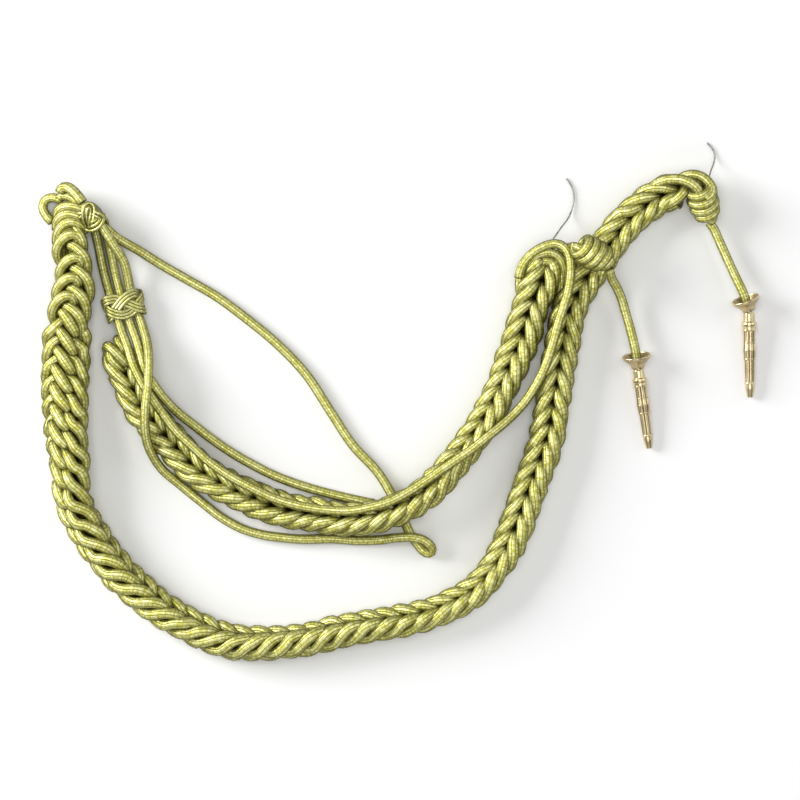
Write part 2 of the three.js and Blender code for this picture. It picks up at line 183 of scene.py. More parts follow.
def piece(name, parts, finish, nodes):
    """One object from shells, which rides on the part and stands for the nodes."""
    points, faces, marks, painted_light, start = [], [], [], [], 0
    for part_points, part_faces, part_marks, part_painted_light in parts:
        points.append(part_points)
        painted_light.append(part_painted_light)
        for block in part_faces:
            faces.extend((block + start).tolist())
        marks += [block.reshape(-1, 2) for block in part_marks]
        start += len(part_points)
    mesh = bpy.data.meshes.new(name)
    mesh.from_pydata(np.vstack(points).tolist(), [], faces)
    pattern = np.vstack(marks).astype(np.float32).ravel()
    mesh.uv_layers.new(name="strand").uv.foreach_set("vector", pattern)
    values = np.concatenate(painted_light).astype(np.float32)
    mesh.attributes.new("painted_light", "FLOAT", "POINT").data.foreach_set("value", values)
    mesh.shade_smooth()
    mesh.materials.append(finish)
    made = bpy.data.objects.new(name, mesh)
    bpy.context.scene.collection.objects.link(made)
    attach(made, "root")
    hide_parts(*nodes)
    return made


class Value:
    """An output of a material's node, on which Python's arithmetic adds Math nodes."""

    def __init__(self, finish, socket):
        self.finish, self.socket = finish, socket

    def math(self, operation, *others, swapped=False):
        """A Math node on this value and others. Swapped puts this value last."""
        terms = (*others, self) if swapped else (self, *others)
        return self.finish.node("ShaderNodeMath", {"operation": operation}, dict(enumerate(terms)))

    def __add__(self, other):
        return self.math("ADD", other)

    __radd__ = __add__

    def __mul__(self, other):
        return self.math("MULTIPLY", other)

    __rmul__ = __mul__

    def __sub__(self, other):
        return self.math("SUBTRACT", other)

    def __rsub__(self, other):
        return self.math("SUBTRACT", other, swapped=True)

    def __pow__(self, other):
        return self.math("POWER", other)


class Finish:
    """A node material with a Principled shader."""

    def __init__(self, name, **constants):
        self.material = bpy.data.materials.new(name)
        self.material.use_nodes = True
        self.tree = self.material.node_tree
        self.shader = self.tree.nodes["Principled BSDF"]
        for socket, value in constants.items():
            self.shader.inputs[socket.replace("_", " ")].default_value = value

    def node(self, kind, settings=None, sockets=None, out=0):
        """Adds a node: its settings are set first, then the values or links of its sockets."""
        node = self.tree.nodes.new(kind)
        for key, value in (settings or {}).items():
            setattr(node, key, value)
        for key, value in (sockets or {}).items():
            self.feed(node.inputs[key], value)
        if isinstance(out, tuple):
            return [Value(self, node.outputs[k]) for k in out]
        return Value(self, node.outputs[out])

    def feed(self, socket, value):
        """Links a value to a socket, or sets the socket to a constant."""
        if isinstance(value, Value):
            self.tree.links.new(value.socket, socket)
        else:
            socket.default_value = value

    def set(self, **sockets):
        """Feeds the shader's sockets, whose names have underscores for spaces."""
        for name, value in sockets.items():
            self.feed(self.shader.inputs[name.replace("_", " ")], value)


def blend(finish, share, a, b):
    """Colour a where share is 0 and colour b where it is 1."""
    a, b = ((*c, 1) if isinstance(c, tuple) else c for c in (a, b))
    return finish.node("ShaderNodeMix", {"data_type": "RGBA"}, {0: share, 6: a, 7: b}, out=2)


def painted_light_of(finish):
    """The painted light: how free the surface lies, from the piece's own attribute; where it is low the
    colour gets painted shade.
    """
    return finish.node("ShaderNodeAttribute", {"attribute_name": "painted_light"}, None, out=2)


# The thread's darkest colour: painted shade where it lies deep or turns away, and the dark dots between
# its ribs.
THREAD_SHADE_AND_GROOVE = (0.045, 0.04, 0)


def braided(name, wales, stitches, relief, mid, glint):
    """Braided metallised thread: wales lengthwise ribs with a row of dark dots between two of them.

    A rib has stitches beads in a girth's length, and each bead gets a painted glint of its own random
    strength. The thread gets painted shade where it turns away from the eye and where it lies deep.
    """
    finish = Finish(name, Metallic=0.8, Specular_IOR_Level=0.2)
    mark = finish.node("ShaderNodeUVMap", {"uv_map": "strand"})
    u, v = finish.node("ShaderNodeSeparateXYZ", None, {0: mark}, out=(0, 1))
    across = u * wales
    column = across.math("FLOOR")
    rib = across - column - 0.5
    groove = (rib * rib * 4) ** 2.0
    along = v * stitches + column * 0.5
    row = along.math("FLOOR")
    tick = along - row - 0.5
    dot = 1 - tick * tick * 4
    cell = finish.node("ShaderNodeCombineXYZ", None, {0: column, 1: row})
    chance = finish.node("ShaderNodeTexWhiteNoise", {"noise_dimensions": "2D"}, {"Vector": cell})
    # Painted shade towards the thread's edges as the eye sees them, times the piece's painted light.
    painted_edge_shade = finish.node("ShaderNodeLayerWeight", None, {"Blend": 0.5}, out="Facing")
    painted_lit = painted_light_of(finish) * (1 - painted_edge_shade) ** 1.4
    tone = painted_lit * (1 - groove * (0.35 + 0.65 * dot))
    base = blend(finish, tone, THREAD_SHADE_AND_GROOVE, mid)
    # Painted glints: where painted light falls, a random share of each bead is blended towards the glint
    # colour.
    painted_glint = chance * (1 - groove) * painted_lit
    height = (1 - groove) * (0.7 + 0.3 * dot)
    bump = {"Strength": 0.8, "Distance": relief, "Height": height}
    finish.set(
        Base_Color=blend(finish, painted_glint, base, glint),
        Roughness=0.5 - painted_glint * 0.15,
        Normal=finish.node("ShaderNodeBump", None, bump),
    )
    return finish.material


def polished_gold():
    """Pale gilt metal with faint dents and slightly duller patches, with painted shade in its grooves and
    inside its cap.
    """
    finish = Finish("gilt_metal", Metallic=1.0)
    spot = finish.node("ShaderNodeTexCoord", None, None, out="Object")
    dents = finish.node("ShaderNodeTexNoise", None, {"Vector": spot, "Scale": 420.0, "Detail": 3.0})
    wear = finish.node("ShaderNodeTexNoise", None, {"Vector": spot, "Scale": 160.0, "Detail": 2.0})
    gilt = blend(finish, wear, (0.58, 0.44, 0.23), (0.86, 0.76, 0.48))
    bump = {"Strength": 0.12, "Distance": 0.2 * MM, "Height": dents}
    finish.set(
        # The dark colour is painted shade, given by the piece's painted light.
        Base_Color=blend(finish, painted_light_of(finish), (0.1, 0.055, 0.015), gilt),
        Roughness=0.2 + wear * 0.2,
        Normal=finish.node("ShaderNodeBump", None, bump),
    )
    return finish.material


def dull_wire():
    """Dark thin wire with lighter painted glints along it."""
    finish = Finish("dull_wire", Metallic=0.7)
    spot = finish.node("ShaderNodeTexCoord", None, None, out="Object")
    wire_glint = finish.node("ShaderNodeTexNoise", None, {"Vector": spot, "Scale": 700.0, "Detail": 3.0})
    finish.set(
        Base_Color=blend(finish, wire_glint ** 2.0, (0.12, 0.12, 0.1), (0.85, 0.86, 0.78)),
        Roughness=0.3 + wire_glint * 0.3,
    )
    return finish.material


GOLD_THREAD = braided("gold_thread", 10, 24, 0.35 * MM, (0.6, 0.575, 0.08), (0.92, 0.91, 0.48))
GOLD_PLY = braided("gold_ply", 4, 6, 0.15 * MM, (0.72, 0.69, 0.16), (0.95, 0.94, 0.55))
GILT = polished_gold()
DARK_WIRE = dull_wire()

# Camera, lights and table. The plan fills the picture at a height among the cords.
CAMERA_HEIGHT = 2.4
SHARP_HEIGHT = 0.008
SENSOR = 36.0
WORLD_LIGHT = 0.2
FLOOR_SIZE = 8.0

# Each softbox: its size in metres, its energy in watts and its place.
SOFTBOXES = {
    "left_light": (1.0, 46, -1.65, 0.6, 0.72),
    "right_light": (1.2, 8, 1.45, 0.5, 0.9),
    "front_light": (1.2, 6, 0.1, -1.5, 0.9),
    "top_light": (2.0, 34, 0, 0, 2.9),
}


def stage():
    """The camera straight above the plan's middle, softboxes round it and the table under the part."""
    camera = bpy.data.objects.new("camera", bpy.data.cameras.new("camera"))
    camera.data.sensor_width = SENSOR
    camera.data.lens = SENSOR * (CAMERA_HEIGHT - SHARP_HEIGHT) / (PLAN_WIDTH * PLAN_UNIT)
    camera.location = place([[PLAN_WIDTH / 2, PLAN_WIDTH / 2, CAMERA_HEIGHT / MM]])[0]
    bpy.context.scene.collection.objects.link(camera)
    bpy.context.scene.camera = camera

    for name, (size, energy, *spot) in SOFTBOXES.items():
        light = bpy.data.objects.new(name, bpy.data.lights.new(name, "AREA"))
        light.data.size = size
        light.data.energy = energy
        light.location = spot
        light.rotation_euler = (-light.location).to_track_quat("-Z", "Y").to_euler()
        bpy.context.scene.collection.objects.link(light)

    world = bpy.data.worlds.new("studio")
    world.use_nodes = True
    world.node_tree.nodes["Background"].inputs["Color"].default_value = (1, 1, 1, 1)
    world.node_tree.nodes["Background"].inputs["Strength"].default_value = WORLD_LIGHT
    bpy.context.scene.world = world
    bpy.context.scene.view_settings.view_transform = "Standard"

    half = FLOOR_SIZE / 2
    corners = [(-half, -half, 0), (half, -half, 0), (half, half, 0), (-half, half, 0)]
    mesh = bpy.data.meshes.new("table_top")
    mesh.from_pydata(corners, [], [(0, 1, 2, 3)])
    table = bpy.data.objects.new("table_top", mesh)
    mesh.materials.append(Finish("pale_table", Base_Color=(0.9, 0.9, 0.9, 1), Roughness=0.9).material)
    bpy.context.scene.collection.objects.link(table)


stage()

# Free cords, with the routes of the part's source: across, down, height.
BUTTON_LOOP = place([
    (84.6, 204.7, 10.9), (94.8, 216.3, 10.9), (105.2, 227.4, 10.9), (117.5, 238.2, 9.2), (137, 249.5, 5),
    (160, 264, 2.8), (186.8, 279.4, 2.8), (216.2, 296.4, 2.8), (248.8, 320.6, 2.8), (277.4, 344.4, 2.8),
    (305.4, 373.8, 2.8), (329.6, 410.4, 2.8), (352.8, 445.4, 2.8), (377.8, 472.6, 2.8), (393, 497.6, 2.8),
    (404, 521, 2.8), (410.2, 534.2, 2.8), (417.4, 544.2, 2.8), (424.6, 552.2, 2.9), (430.2, 553.6, 3.4),
    (432, 549, 5), (428.4, 543.8, 7), (421.4, 539.2, 8.2), (411, 537.2, 8.2), (397, 537.8, 6.6),
    (381, 540, 3.6), (358, 540.8, 2.8), (333, 539, 2.8), (302, 539.4, 2.8), (280, 537.6, 2.8),
    (261, 534.8, 2.8), (241, 528.6, 2.8), (221, 517.6, 2.8), (200.4, 501.6, 2.8), (180.2, 485.2, 2.8),
    (161, 468.2, 6), (148.6, 445.2, 13), (145.8, 425, 17.4), (146.8, 404, 19.8), (149, 384, 19.6),
    (149.6, 362, 17.6), (147.6, 344, 13), (141.6, 324, 8.4), (134.2, 305.5, 6.6), (130, 290, 7),
    (124.4, 262.8, 11.8), (114.2, 245.3, 15.2), (104.4, 229.6, 16.4), (94.8, 216.3, 16.4),
    (84.6, 204.7, 16.4),
])
FRONT_CORD = place([
    (92.6, 224, 2.9), (95.8, 236.5, 2.9), (98.6, 249.5, 3), (101.4, 264, 3.4), (107, 286, 5.6),
    (113.2, 305.5, 6.6), (119.4, 324, 7.7), (122.6, 333.5, 9.4), (126.8, 344, 11.4), (133, 363.3, 13.2),
    (142, 382, 14), (152.4, 398, 14.2), (165.7, 417, 14.6), (177.8, 432.2, 14.8), (191.2, 444.8, 14.9),
    (210.6, 462.5, 15), (231, 476.5, 15.4), (251.4, 487.3, 16), (271.8, 497, 15.8), (292, 503.5, 15.9),
    (312.6, 507.7, 16.4), (333, 510, 17.3), (350, 510.2, 18.3), (369, 507, 19.3), (388.6, 501.7, 20),
    (407.9, 491.9, 19.6), (427.6, 479.2, 18.9), (447, 465.8, 18.8), (471, 449.5, 18.2), (488, 436, 17.4),
    (502, 424.8, 15.2), (512.6, 415.1, 13.2), (524.4, 402.2, 12.4), (536, 384.6, 13.2), (544.2, 368, 14.8),
    (551.6, 346, 16), (556.8, 326.5, 16.7), (562.6, 307.6, 16.9), (566.8, 294.5, 17), (569.4, 281, 17),
    (570.3, 266, 17), (568, 254, 16.4), (562, 246.4, 15.4), (553.6, 244.2, 14.4), (545.8, 246, 14.2),
    (537.6, 250, 13.8), (530.2, 255.4, 13.2), (524.4, 262.2, 11.8), (520.6, 270, 10.6), (518.6, 278, 9.4),
])
BACK_CORD = place([
    (104.4, 227, 2.9), (107.2, 240, 2.9), (110.2, 253, 3.2), (113.4, 268, 4), (118.2, 287, 5.6),
    (123.8, 305.5, 6.6), (130.4, 324, 8.2), (136.6, 340.5, 10.6), (140.8, 354, 12.2), (145.4, 369.6, 12.6),
    (155.6, 387, 11.8), (168.1, 402.9, 9), (180.4, 414.9, 5.4), (194, 425.6, 3), (211.2, 439, 2.8),
    (230.6, 452.3, 2.8), (250.8, 464, 2.8), (271.4, 474.6, 2.8), (291.6, 482.6, 2.8), (312.4, 489.3, 2.8),
    (332.8, 494.7, 2.8), (350, 498.8, 2.8), (362, 501.4, 2.8), (374, 503.8, 2.8),
])
OUTER_TAG_CORD = place([
    (709.2, 222.4, 6.8), (714, 228.8, 6.6), (719.4, 240.8, 6.4), (727.2, 258.2, 6.4), (735.2, 276, 7.4),
    (743.4, 293.6, 8.4), (747.6, 305.3, 6.75),
])
INNER_TAG_CORD = place([
    (608.4, 270, 18), (611, 278.8, 15), (615.6, 286.6, 12.6), (620.8, 297.2, 10), (625.2, 311.6, 8.6),
    (630.6, 330.4, 8.4), (635, 348.6, 8.4), (637.4, 362.4, 6.75),
])


def free_cord(name, route):
    """A loose cord: a tube on its own route."""
    path = evenly(route)
    made = piece(name + "_braid", [shell(*tube(path, CORD))], GOLD_THREAD, [name])


free_cord("button_loop_cord", BUTTON_LOOP)
free_cord("front_cord", FRONT_CORD)
free_cord("back_cord", BACK_CORD)

# Chain plaits: across, down, lift, roll, half_wide, half_thick, as in the part's source.
OUTER_PLAIT = np.array([
    (682, 190.8, 0, 0, 9.2, 6.8), (672, 192.3, 0, 0, 9.5, 7), (655, 198.8, 0, 0, 9.6, 7.2),
    (624, 225, 0, 0, 9.4, 7.2), (598.5, 260, 0, 0, 9.3, 7.2), (580, 287.5, 0, 0, 9.4, 7.2),
    (569, 310.5, 0, 0, 9.5, 7.2), (561, 352, 0, 0, 9.4, 7.2), (554, 395, 0, 0, 9.4, 7.2),
    (547, 437.5, 0, 2, 9.4, 7.2), (533, 479, 0, 6, 9.3, 7.2), (510, 541.5, 0, 12, 9.3, 7.2),
    (494, 569.4, 0, 16, 8.1, 7.2), (473, 592.6, 0, 20, 8.3, 7.2), (426, 615.5, 0, 32, 8.4, 7),
    (358, 628.8, 0, 50, 8.6, 7.8), (287, 642, 0, 68, 8.6, 7.6), (228, 641, 0, 56, 9.2, 8.4),
    (179, 620.5, 0, 52, 9.3, 8.2), (138.5, 592, 0, 58, 9.6, 8.6), (101.5, 550.5, 0, 70, 9.6, 8.6),
    (77.6, 506.8, 0, 92, 10.5, 9), (69.4, 465, 0, 124, 12.2, 8.5), (65, 415, 0, 148, 12.8, 7.8),
    (65.8, 360, 0, 174, 13.1, 7.4), (69, 305, 0, 198, 12.2, 7.4), (72, 262, 0, 214, 11.6, 7.4),
    (71, 237, 0, 222, 10.6, 7.2), (69.5, 220, 0, 222, 8.2, 6.6), (70.5, 206.5, 0, 222, 6.4, 5.6),
])
INNER_PLAIT = np.array([
    (547.4, 254.5, 1.6, 0, 7.8, 6), (543.3, 274, 2.6, 0, 10, 7), (535.8, 293, 2.6, 2, 10, 7.2),
    (528.4, 313.2, 1.4, 5, 9.8, 7.2), (521.6, 337.4, 0, 8, 10, 7.2), (502, 387.2, 0, 18, 8.8, 7.2),
    (485.2, 420.3, 0, 20, 8.5, 7.2), (464, 450.6, 1, 24, 8.2, 7.2), (430, 490, 5, 28, 8.4, 7.2),
    (399, 509, 5.8, 28, 8.6, 7.2), (371.5, 517.5, 4.8, 25, 8.8, 7.2), (342.5, 519.5, 2.6, 16, 9, 7.2),
    (313, 514.3, 1, 8, 9.2, 7.2), (281.2, 508.8, 0, 6, 9.5, 7.2), (249.6, 496.9, 0, 8, 9.7, 7.2),
    (223.4, 485.4, 0, 8, 9, 7), (199.6, 471, 0, 8, 9.5, 7), (181.6, 454.4, 0, 8, 9.6, 6.8),
    (150.4, 418.4, 0, 5, 9.9, 6.4), (140.2, 404.6, 0, 3, 9.9, 6), (126.8, 374.4, 0, 0, 9.9, 5.6),
    (118.8, 357.4, 0, 0, 9.2, 5), (118.4, 344.4, 0, 0, 7.2, 4.4),
])

# A plait rests lower than its section's reach, because its belly is pressed flat. A stitch is drawn
# for the full thickness.
PLAIT_REST = 0.87
FULL_THICK = 7.2 * MM

# Points of a plait's middle line, and the step between those of which the nearest is looked for.
BED_SAMPLES = 4001
COARSE = 16

# How far out in the section strands begin to lie free and lose their painted shade, and how much further
# they lie wholly free.
DEEP = 0.52
FREE_AFTER = 0.42

# How far out a strand's middle goes: edge widths, less a share of its diameter.
EDGE_REACH = 1.02
EDGE_INSET = 0.57

# How far a stitch's points stray from their place.
SLACK = 0.035

# One side of a stitch: wide is in edge widths, high in cord diameters, ahead in stitches and girth in
# strand diameters. The stitch starts on the back, dives to the front beside the groove, runs out to
# the edge, wraps it and meets its other side at the head, in the middle of the back.
STITCH_SIDE = np.array([
    (0.40, -0.36, -0.10, 0.95),
    (0.14, 0.24, 0.00, 0.95),
    (0.30, 0.76, 0.30, 1.05),
    (0.58, 0.96, 0.70, 1.16),
    (0.86, 0.76, 1.12, 1.18),
    (1.00, 0.20, 1.50, 1.20),
    (0.98, -0.34, 1.80, 1.18),
    (0.84, -0.62, 2.10, 1.12),
    (0.60, -0.68, 2.40, 1.08),
    (0.32, -0.58, 2.62, 1.00),
])
STITCH_START = np.array([(0.46, -0.98, 0.08, 1.0)])
STITCH_HEAD = np.array([(0.0, -0.50, 2.68, 0.95)])
STITCH_END = np.array([(-0.46, -0.98, -0.08, 1.0)])
STITCH_BUMP = np.array([(0.0, -1.24, -0.5, 1.22)])
MIRROR_SIDE = STITCH_SIDE[::-1] * (-1, 1, 1, 1)
STITCH = np.vstack([STITCH_BUMP, STITCH_START, STITCH_SIDE, STITCH_HEAD, MIRROR_SIDE, STITCH_END])

# A bump alone, from the last points of the stitch before it to the first points of its own.
ONE_BACK = np.array((0, 0, -1, 0))
CROSSING = np.vstack([
    MIRROR_SIDE[-2:] + ONE_BACK, STITCH_END + ONE_BACK, STITCH_BUMP, STITCH_START, STITCH_SIDE[:2],
])


class Bed:
    """Where a plait lies: its middle line and its section at any length along it."""

    def __init__(self, rows):
        flat = place(np.column_stack([rows[:, :2], np.zeros(len(rows))]))
        t = np.linspace(0, 1, BED_SAMPLES)
        self.line = through(flat, t)
        self.run = lengths(self.line)
        self.along = unit(np.gradient(self.line, axis=0))
        row = np.arange(len(rows))
        self.columns = [np.interp(t * row[-1], row, rows[:, k]) for k in range(2, 6)]

    def at(self, s, table):
        """The table's row at s metres along."""
        return np.stack([np.interp(s, self.run, column) for column in np.moveaxis(table, -1, 0)], -1)

    def section(self, s):
        """The plait's lift, roll, half width and half thickness at s metres along."""
        lift, roll, wide, thick = (np.interp(s, self.run, column) for column in self.columns)
        return lift * MM, np.radians(roll), wide * MM, thick * MM

    def painted_light(self, path, grid):
        """How far out the points of a strand's rings lie in the plait's section, as a share that rises
        smoothly from 0 deep in it to 1 near its skin. It is the painted light: deep points get painted
        shade."""
        apart = path[:, None, :2] - self.line[None, ::COARSE, :2]
        near = np.argmin((apart**2).sum(-1), axis=1) * COARSE
        section = self.section(self.run[near])
        lift, roll, half_wide, half_thick = (value[:, None] for value in section)
        off, along = grid - self.line[near][:, None], self.along[near][:, None]
        x = off[..., 0] * along[..., 1] - off[..., 1] * along[..., 0]
        z = grid[..., 2] - lift - self.belly(roll, half_wide, half_thick)
        wide = (x * np.cos(roll) - z * np.sin(roll)) / half_wide
        high = (x * np.sin(roll) + z * np.cos(roll)) / half_thick
        share = np.clip((np.hypot(wide, high) - DEEP) / FREE_AFTER, 0, 1)
        return share * share * (3 - 2 * share)

    @staticmethod
    def belly(roll, half_wide, half_thick):
        """How high the middle of a section with this roll stands over its resting face."""
        return PLAIT_REST * np.hypot(half_wide * np.sin(roll), half_thick * np.cos(roll))

    def lay(self, wide, high, s, radius):
        """Plait points (wide, high, s) in the part's frame: the section is turned by the roll about
        the middle line, stands on its belly, and no strand's middle goes lower than its radius."""
        lift, roll, half_wide, half_thick = self.section(s)
        x = wide * np.cos(roll) + high * np.sin(roll)
        z = self.belly(roll, half_wide, half_thick) + high * np.cos(roll) - wide * np.sin(roll)
        along = unit(self.at(s, self.along))
        spot = self.at(s, self.line) + along * (s - np.clip(s, 0, self.run[-1]))[:, None]
        spot[:, 0] += along[:, 1] * x
        spot[:, 1] -= along[:, 0] * x
        spot[:, 2] = lift + np.maximum(z, radius)
        return spot


def plaited(rows, stitches, first, last, offset, seed, crossings=0):
    """The strand of a chain plait as tubes through every stitch's points, from stitch first up to
    stitch last.

    Stitch k's points are its side's points, its head and its other side's points in reverse, all
    k + offset pitches along, and the plait is stitches pitches long. Before each stitch the strand
    crosses the back in a bump, and crossings more bumps follow after the last stitch. Each point is a
    little off its place, as in hand work. The strand is cut where it would pass the plait's ends.
    """
    bed = Bed(rows)
    pitch = bed.run[-1] / stitches

    def strands(shape, first, last):
        """Tubes through the shape's points in the stitches from first up to last."""
        k = np.arange(first, last)[:, None, None]
        points = shape + np.random.default_rng(seed).normal(0, SLACK, (len(k), *shape.shape))
        points[..., 2] += k[..., 0] + offset
        out, up, ahead, girth = points.reshape(-1, 4).T
        s = ahead * pitch
        _, _, half_wide, half_thick = bed.section(s)
        radius = girth * STRAND / 2
        edge = half_wide * EDGE_REACH - STRAND * EDGE_INSET
        spots = bed.lay(out * edge, up * CORD * half_thick / FULL_THICK, s, radius)
        inside = (s > 0) & (s < bed.run[-1])
        runs = np.split(np.arange(len(s)), np.flatnonzero(np.diff(inside)) + 1)
        route = np.column_stack([spots, radius])
        return [strand(route[run], bed) for run in runs if inside[run[0]] and len(run) > 3]

    more = [strands(CROSSING, k, k + 1) for k in range(last, last + crossings)]
    return sum(more, strands(STITCH, first, last))


def strand(route, bed):
    """A piece of a plait's strand through points of the route and the strand's radius at each."""
    path = evenly(route, STRAND_GAP)
    grid, run = tube(path[:, :3], STRAND, STRAND_SIDES, path[:, 3] * 2 / STRAND)
    return shell(grid, run, bed.painted_light(path, grid))


def band(route, diameter=STRAND, painted_light=1.0):
    """A strand laid on listed plan points."""
    grid, run = tube(evenly(place(route), BAND_GAP), diameter)
    return shell(grid, run, np.full(grid.shape[:2], painted_light))


# Strands laid on listed points. At the shoulder they are bumps and arcs over a core darkened with painted
# shade, and tight bands up to the top loops. At the plaits' other ends they close the plait.
CORE_STRAND = 7 * MM
# The core strands are painted nearly black: painted shade under the shoulder's bumps and arcs.
CORE_PAINTED_LIGHT = 0.1
ARC_STRAND = 6 * MM
SHOULDER_CORE = [
    [(62, 212, 5.6), (63, 235, 5.8), (64, 258, 6), (62, 282, 6), (60, 306, 6), (59, 330, 5.6),
     (60, 356, 5)],
    [(77, 212, 6), (79, 235, 6), (81, 258, 6), (80, 282, 6), (78, 306, 6), (74, 330, 5.6),
     (73, 356, 5)],
    [(70, 214, 7.6), (72, 240, 8), (74, 262, 8), (71, 284, 8), (68, 306, 8), (66, 330, 7),
     (66, 356, 6)],
]
SHOULDER_BANDS = [
    [(57, 217, 6.4), (58.4, 211.6, 8.6), (63, 207.6, 10.6), (70.6, 206.4, 11.8), (78, 207.6, 12.6),
     (84, 210, 12.2)],
    [(56.4, 229, 6.4), (57.4, 222, 8.8), (61.6, 216.4, 10.8), (68, 214.2, 12), (75, 214.8, 12.6),
     (81.6, 217.6, 12.2)],
    [(56.6, 243, 6.4), (57.6, 234, 9.2), (62, 226.8, 11.6), (69, 222.6, 12.8), (76, 222.4, 13),
     (81.6, 226, 11.8), (84, 232, 9)],
    [(59, 247, 6), (61, 240, 8.8), (66, 234, 10.8), (72.6, 231.6, 11.6), (79, 234, 11), (82.6, 240, 8.6)],
    [(75, 228.6, 11.4), (78.6, 232.4, 13.4), (82, 238, 13.4), (83.6, 244, 12), (83, 249.6, 10)],
]

# A bump over the left edge and an arc down the front, from each of the starts.
ARC_STARTS = [(76, 242), (79, 265), (75.4, 285), (71.6, 303)]
BUMP_SHAPE = [
    (-14, 21, 4.4), (-18, 15, 6.4), (-18.4, 7, 9.4), (-14.4, -0.6, 12), (-8, -6, 13.8), (-1, -7.6, 14),
    (3, -3.4, 12.6), (0, 1, 10.4),
]
ARC_SHAPE = [
    (-6, 2.6, 10.4), (1.4, 6.4, 13.2), (8, 13.4, 13.4), (11, 22, 11), (10, 31, 8), (5.6, 38, 5.4),
]


def moved(shape, start):
    """A route of the shape's points, whose places across and down the plan count from the start."""
    return [(start[0] + across, start[1] + down, height) for across, down, height in shape]


OUTER_NECK = [
    [(648, 190, 8), (659, 182.6, 11.5), (672.5, 179.6, 14), (685, 181.6, 16), (693.6, 186.6, 16.6),
     (698.6, 193, 14.6), (700, 198, 10)],
    [(674, 183.4, 6), (684, 176.8, 9.6), (693, 175, 11.4), (701.4, 177.4, 12), (707.6, 182.8, 12.6),
     (711.4, 189.4, 13.6), (710.4, 196, 15), (705, 201, 16)],
    [(662, 206, 8), (671, 203, 11), (679, 197.4, 12.6), (684, 191, 11.6), (684.6, 186, 8)],
]
INNER_HEAD = [
    [(526.6, 280, 6.4), (527, 272, 8.4), (530.4, 264, 10.6), (536.6, 257, 12), (544.4, 253.4, 12.8),
     (552, 253.4, 13), (558.6, 257, 12.6), (562.6, 263.6, 12), (564, 272, 10.4), (563, 280, 8)],
    [(533, 276, 8), (535, 269.4, 10), (539.4, 264, 11.4), (545.8, 261.4, 12), (552, 263, 12),
     (556.4, 268, 11), (558.4, 275, 9.4)],
    [(557, 264, 9.6), (560, 271, 10), (561.4, 280, 9), (561, 289, 7.6), (558.6, 297, 6)],
    [(521.4, 270, 10.2), (520, 277.6, 9), (519.6, 284.6, 7.8), (520.2, 291, 6.6), (522, 298, 5),
     (525, 304, 4)],
]
INNER_FOOT = [
    [(127, 364, 10), (121, 358, 12.4), (115, 351.6, 13), (110.6, 347.4, 12), (107.6, 346.4, 9.6),
     (107, 350, 7), (109, 354, 5.4)],
    [(117.6, 338.4, 5.4), (119, 342.6, 7.6), (121.6, 347.6, 9), (125, 353.6, 9), (129, 360, 8.4)],
]

outer_strands = plaited(OUTER_PLAIT, stitches=66, first=-2, last=58, offset=0.3, seed=1, crossings=3)
outer_strands += [band(route) for route in SHOULDER_BANDS + OUTER_NECK]
outer_strands += [band(route, CORE_STRAND, CORE_PAINTED_LIGHT) for route in SHOULDER_CORE]
for arc_start in ARC_STARTS:
    outer_strands += [band(moved(shape, arc_start), ARC_STRAND) for shape in (BUMP_SHAPE, ARC_SHAPE)]
piece("outer_plait_strand", outer_strands, GOLD_THREAD, ["outer_plait"])

inner_strands = plaited(INNER_PLAIT, stitches=36, first=-2, last=35, offset=0.6, seed=2)
inner_strands += [band(route, CORD) for route in INNER_HEAD]
inner_strands += [band(route) for route in INNER_FOOT]
piece("inner_plait_strand", inner_strands, GOLD_THREAD, ["inner_plait"])

# Small loops at the shoulder: a ring, and a thick loop with a strand under it.
THICK_LOOP = 5.8 * MM
SHOULDER_RING = place([
    (51, 221.4, 5), (46, 215.6, 3.6), (42.4, 208.8, 3), (42.8, 203, 3), (46.6, 198.6, 3.4),
    (52.4, 197.3, 4.6), (58, 198.7, 6), (62, 200.6, 6.8),
])
SHOULDER_TOP = place([
    (83.5, 203.2, 16.3), (79.8, 198.2, 15.8), (74.5, 192, 14.6), (68.6, 188, 12.6), (63.2, 188.2, 10.6),
    (60.4, 192.6, 9.6),
])
SHOULDER_UNDER = place([
    (58, 198, 6), (63.4, 196.2, 8), (69, 196.6, 10), (74.4, 199.6, 11.6), (79.4, 203.6, 12.6),
    (84, 208, 12.4),
])


def laid(route, diameter=CORD, gap=RING_GAP, sides=CORD_SIDES):
    """A round tube through the points of a placed route."""
    return shell(*tube(evenly(route, gap), diameter, sides))


piece("shoulder_ring_braid", [laid(SHOULDER_RING)], GOLD_THREAD, ["shoulder_ring_loop"])
top_strands = [laid(SHOULDER_TOP, THICK_LOOP), laid(SHOULDER_UNDER)]
piece("shoulder_top_braid", top_strands, GOLD_THREAD, ["shoulder_top_loop"])

# Coil knots: steps of the path in one turn, and the cord that leads into the inner one.
TURN_STEPS = 40
INNER_STUB = place([
    (558, 251, 10.6), (564.6, 249.4, 11.6), (570, 247.6, 14.6), (574.6, 247.6, 19.4), (579, 249.2, 22.4),
    (585, 252, 22.4), (591, 255, 21),
])


def axes(heading):
    """A direction and two more square to it and to each other."""
    along = unit(np.asarray(heading, float))
    side = unit(np.cross(along, (0, 0, 1)))
    return along, side, np.cross(side, along)


def coiled(start, end, along, radius, turns, hand, lean):
    """The path of cord wound into a barrel: a helix whose radius follows the barrel's outline less
    half a cord, given at shares along. It starts at the bottom, and the top of each turn leans
    towards the barrel's end by lean times the radius."""
    start, end = place([start, end])
    axis, side, up = axes(end - start)
    share = np.linspace(0, 1, round(TURN_STEPS * turns) + 1)
    a = 2 * math.pi * turns * share + math.pi
    r = np.interp(share, along, np.array(radius) * MM)
    ring = np.cos(a)[:, None] * up + hand * np.sin(a)[:, None] * side
    around = ring + lean * np.cos(a)[:, None] * axis
    return start + (end - start) * share[:, None] + around * r[:, None]


